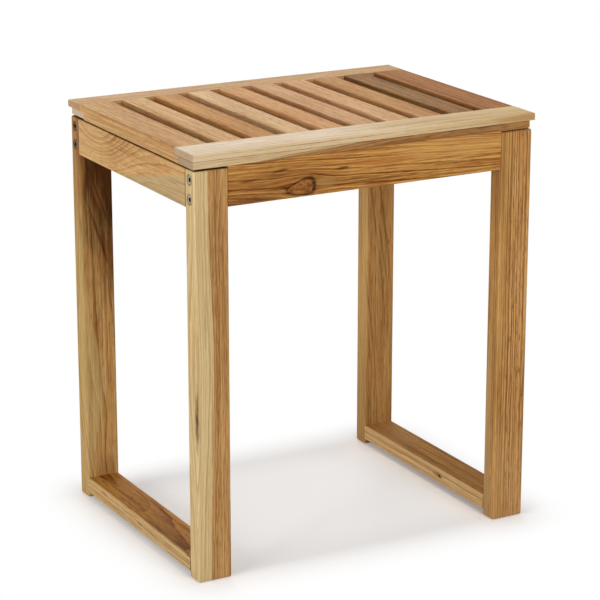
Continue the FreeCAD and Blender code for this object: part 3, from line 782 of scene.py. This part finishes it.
# %% [markdown]
# ## Pegs and bolts
#
# The pegs are hidden in the joints, and so are the barrel nuts, but for their ends. The bolts that pull the
# aprons to the legs show their heads at the sides: turned steel with a six-sided socket. A lathe makes such
# a bolt, and so does a grid: one direction runs along its outline, from the bottom of the socket over the
# head to the tip, and the other runs round. Where the radius depends on both, the same grid gives the
# socket's six flats and the thread.

# %% Pegs
PEG_WOOD = (colour(214, 188, 146), colour(182, 150, 104))
for name in ("left_frame_dowels", "right_frame_dowels"):
    cut_from_log(name, "Y", *PEG_WOOD, ring=1.8, seed=61)

# %% A bolt as one turned surface
HEAD_RADIUS = 5.5
HEAD_RIM = 0.6
HEAD_HEIGHT = 3.1
EASED = 0.2
SHANK_RADIUS = 3.0
SOCKET_HALF = 2.0
SOCKET_MOUTH = 2.5
SOCKET_DEPTH = 2.2
DRILL_POINT = 0.6
THREAD_FROM = 34.0
THREAD_ROOT = 2.45
THREAD_CREST = SHANK_RADIUS - 0.05
THREAD_FLANK = 1.35
THREAD_FLAT = 0.2
RUN_IN = 0.6
TIP_LENGTH = 0.5
TIP_RADIUS = 2.2
TIP_SLOPE = 0.6
PITCH = 1.0
PITCH_STEPS = 8
ROUND_STEPS = 36

bolts_low, bolts_high = (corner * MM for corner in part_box("left_apron_bolts"))
BOLT_ASIDE = bolts_high.y - HEAD_RADIUS
BOLT_LEVELS = (bolts_low.z + HEAD_RADIUS, bolts_high.z - HEAD_RADIUS)
BOLT_SPOTS = [(y, z) for y in (-BOLT_ASIDE, BOLT_ASIDE) for z in BOLT_LEVELS]
BOLT_FACE = -bolts_low.x
BOLT_LENGTH = bolts_high.x - bolts_low.x

angles = np.arange(ROUND_STEPS) * (2 * np.pi / ROUND_STEPS)
hexagon = SOCKET_HALF / np.cos(angles % (np.pi / 3) - np.pi / 6)
thread_depths = np.arange(THREAD_FROM, BOLT_LENGTH - TIP_LENGTH, PITCH / PITCH_STEPS)


def circles(*pairs):
    """Rows of depth and radius that are the same all round."""
    depth, radius = np.array(pairs).T
    return np.repeat(depth[:, None], ROUND_STEPS, 1), np.repeat(radius[:, None], ROUND_STEPS, 1)


def socket_rows():
    """The socket: six flats, whose distance from the axis is the half width over a cosine."""
    depth = np.repeat(np.array([[SOCKET_DEPTH], [EASED]]), ROUND_STEPS, 1)
    return depth, np.repeat(hexagon[None, :], 2, 0)


def thread_rows():
    """The thread: the radius goes from root to crest and back once a pitch, and shifts a pitch each turn."""
    down = thread_depths[:, None]
    share = (down / PITCH - angles[None, :] / (2 * np.pi)) % 1.0
    height = np.clip(THREAD_FLANK * np.abs(2 * share - 1) - THREAD_FLAT, 0, 1)
    starting = np.clip((down - THREAD_FROM) / (2 * PITCH), 0, 1)
    crest = np.minimum(THREAD_CREST, THREAD_ROOT + (BOLT_LENGTH - down) * TIP_SLOPE)
    radius = THREAD_CREST - starting * (1 - height) * (THREAD_CREST - THREAD_ROOT)
    return np.repeat(down, ROUND_STEPS, 1), np.minimum(radius, crest)


rows = [circles((SOCKET_DEPTH + DRILL_POINT, 0.0)), socket_rows(),
        circles((0.0, SOCKET_MOUTH), (0.0, HEAD_RADIUS - EASED), (EASED, HEAD_RADIUS),
                (HEAD_RIM, HEAD_RADIUS), (HEAD_HEIGHT, SHANK_RADIUS), (THREAD_FROM - RUN_IN, SHANK_RADIUS)),
        thread_rows(), circles((BOLT_LENGTH, TIP_RADIUS), (BOLT_LENGTH, 0.0))]
bolt_depth, bolt_radius = (np.concatenate(part) for part in zip(*rows))
print("a bolt has", bolt_depth.size, "points")

# %% Eight bolts in their holes
MERGE_DISTANCE = 1e-7
SHARP_ANGLE = math.radians(32)


def turned_bolts(name, side):
    """Four bolts: circles round X. On the right each is turned half round and keeps a right-hand thread."""
    round_y = bolt_radius * np.cos(angles)
    round_z = bolt_radius * np.sin(angles)
    one = np.stack([side * (BOLT_FACE - bolt_depth), -side * round_y, round_z], -1).reshape(-1, 3)
    spots = np.array([(0.0, y, z) for y, z in BOLT_SPOTS])
    points = (one[None] + spots[:, None]).reshape(-1, 3) / MM
    row = np.arange(len(bolt_depth) - 1)[:, None] * ROUND_STEPS
    column = np.arange(ROUND_STEPS)[None, :]
    onward = (column + 1) % ROUND_STEPS
    loop = np.stack([row + column, row + onward, row + ROUND_STEPS + onward, row + ROUND_STEPS + column], -1)
    copies = np.arange(len(spots))[:, None, None] * len(one)
    faces = (loop.reshape(1, -1, 4) + copies).reshape(-1, 4)
    mesh = bpy.data.meshes.new(name)
    mesh.from_pydata(points.tolist(), [], faces.tolist())
    shape = bmesh.new()
    shape.from_mesh(mesh)
    bmesh.ops.remove_doubles(shape, verts=shape.verts, dist=MERGE_DISTANCE)
    bmesh.ops.recalc_face_normals(shape, faces=shape.faces)
    shape.to_mesh(mesh)
    shape.free()
    mesh.shade_smooth()
    mesh.set_sharp_from_angle(angle=SHARP_ANGLE)
    piece = bpy.data.objects.new(name, mesh)
    bpy.context.scene.collection.objects.link(piece)
    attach(piece, "root")
    print(name, len(mesh.polygons), "faces")
    return piece


left_bolts = turned_bolts("left_turned_bolts", -1)
right_bolts = turned_bolts("right_turned_bolts", 1)
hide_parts("left_apron_bolts")
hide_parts("right_apron_bolts")

# %% [markdown]
# ## Steel
#
# The cutter leaves fine rings on a turned head, centred on its own bolt. All bolts lie at the same
# distances from two middle planes of the stool, so folding space about those planes puts every axis in one
# place, and a single noise of the distance from it gives the rings of all of them. The same distance darkens
# each head's rim with a painted shadow, where it sits in its countersink, and its socket with painted shade
# and grime. The rear bolts are painted darker than the front ones, and the nuts and screws are plain.

# %% Turned and plated steel
GRIME_AND_SHADE = colour(48, 31, 14)
RIM_SHADE_AND_GRIME = 0.85
REAR_DARKENING = 0.82
GRIT_SCALE = 900.0
CLOUD_SCALE = 210.0
RING_SCALE = 5.0
RIM_EDGE = (HEAD_RADIUS - 1.0, HEAD_RADIUS - 0.2)
SOCKET_EDGE = (1.3 * SOCKET_HALF, 1.15 * SOCKET_HALF)
MIDDLE_LEVEL = sum(BOLT_LEVELS) / 2
BOLT_ABOVE = (BOLT_LEVELS[1] - BOLT_LEVELS[0]) / 2


def from_bolt_axis(parts):
    """Millimetres from the nearest bolt's axis, by folding space about the two middle planes."""
    aside = abs(parts["Y"] * MM) - BOLT_ASIDE
    above = abs(parts["Z"] * MM - MIDDLE_LEVEL) - BOLT_ABOVE
    return (aside * aside + above * above) ** 0.5


def steel(name, tint, stain, roughness, turned=False):
    """Steel with stains and uneven gloss. A turned head also has rings, and painted shade with grime at its
    rim and socket.
    """
    material, shader, place = new_finish(name)
    grit = place.node("ShaderNodeTexNoise", {}, {"Vector": place, "Scale": GRIT_SCALE, "Detail": 3.0}) - 0.5
    cloud = place.node("ShaderNodeTexNoise", {}, {"Vector": place, "Scale": CLOUD_SCALE, "Detail": 2.0})
    paint = cloud.rise(0.42, 0.75).between(tint, stain)
    height = grit
    if turned:
        parts = place.parts()
        reach = from_bolt_axis(parts)
        rings = reach.node("ShaderNodeTexNoise", {"noise_dimensions": "1D"},
                           {"W": reach * RING_SCALE, "Detail": 1.0}) - 0.5
        height = grit + 2.0 * rings
        # Painted: the rear bolts are darker than the front ones.
        paint = (REAR_DARKENING * parts["Y"].rise(-0.01, 0.01)).between(paint, GRIME_AND_SHADE)
        # Painted shadow round each head's rim, and painted shade with grime in its socket.
        edge = reach.rise(*RIM_EDGE)
        hollow = reach.rise(*SOCKET_EDGE)
        paint = (RIM_SHADE_AND_GRIME * edge.math("MAXIMUM", edge, hollow)).between(paint, GRIME_AND_SHADE)
    paint.feeds(shader, "Base Color")
    (roughness + 0.25 * height).feeds(shader, "Roughness")
    emboss(shader, height, strength=0.25, distance=0.0001)
    shader.inputs["Metallic"].default_value = 1.0
    return material


bolt_steel = steel("bolt_steel", colour(176, 157, 130), colour(142, 121, 94), roughness=0.42, turned=True)
nut_steel = steel("nut_steel", colour(150, 140, 124), colour(96, 84, 68), roughness=0.42)
screw_steel = steel("screw_steel", colour(186, 182, 170), colour(120, 114, 100), roughness=0.3)
for bolts in (left_bolts, right_bolts):
    bolts.data.materials.append(bolt_steel)
for name in ("left_apron_bolts", "right_apron_bolts"):
    dress(name, bolt_steel)
for name in ("front_barrel_nuts", "rear_barrel_nuts"):
    dress(name, nut_steel)
dress("seat_screws", screw_steel)
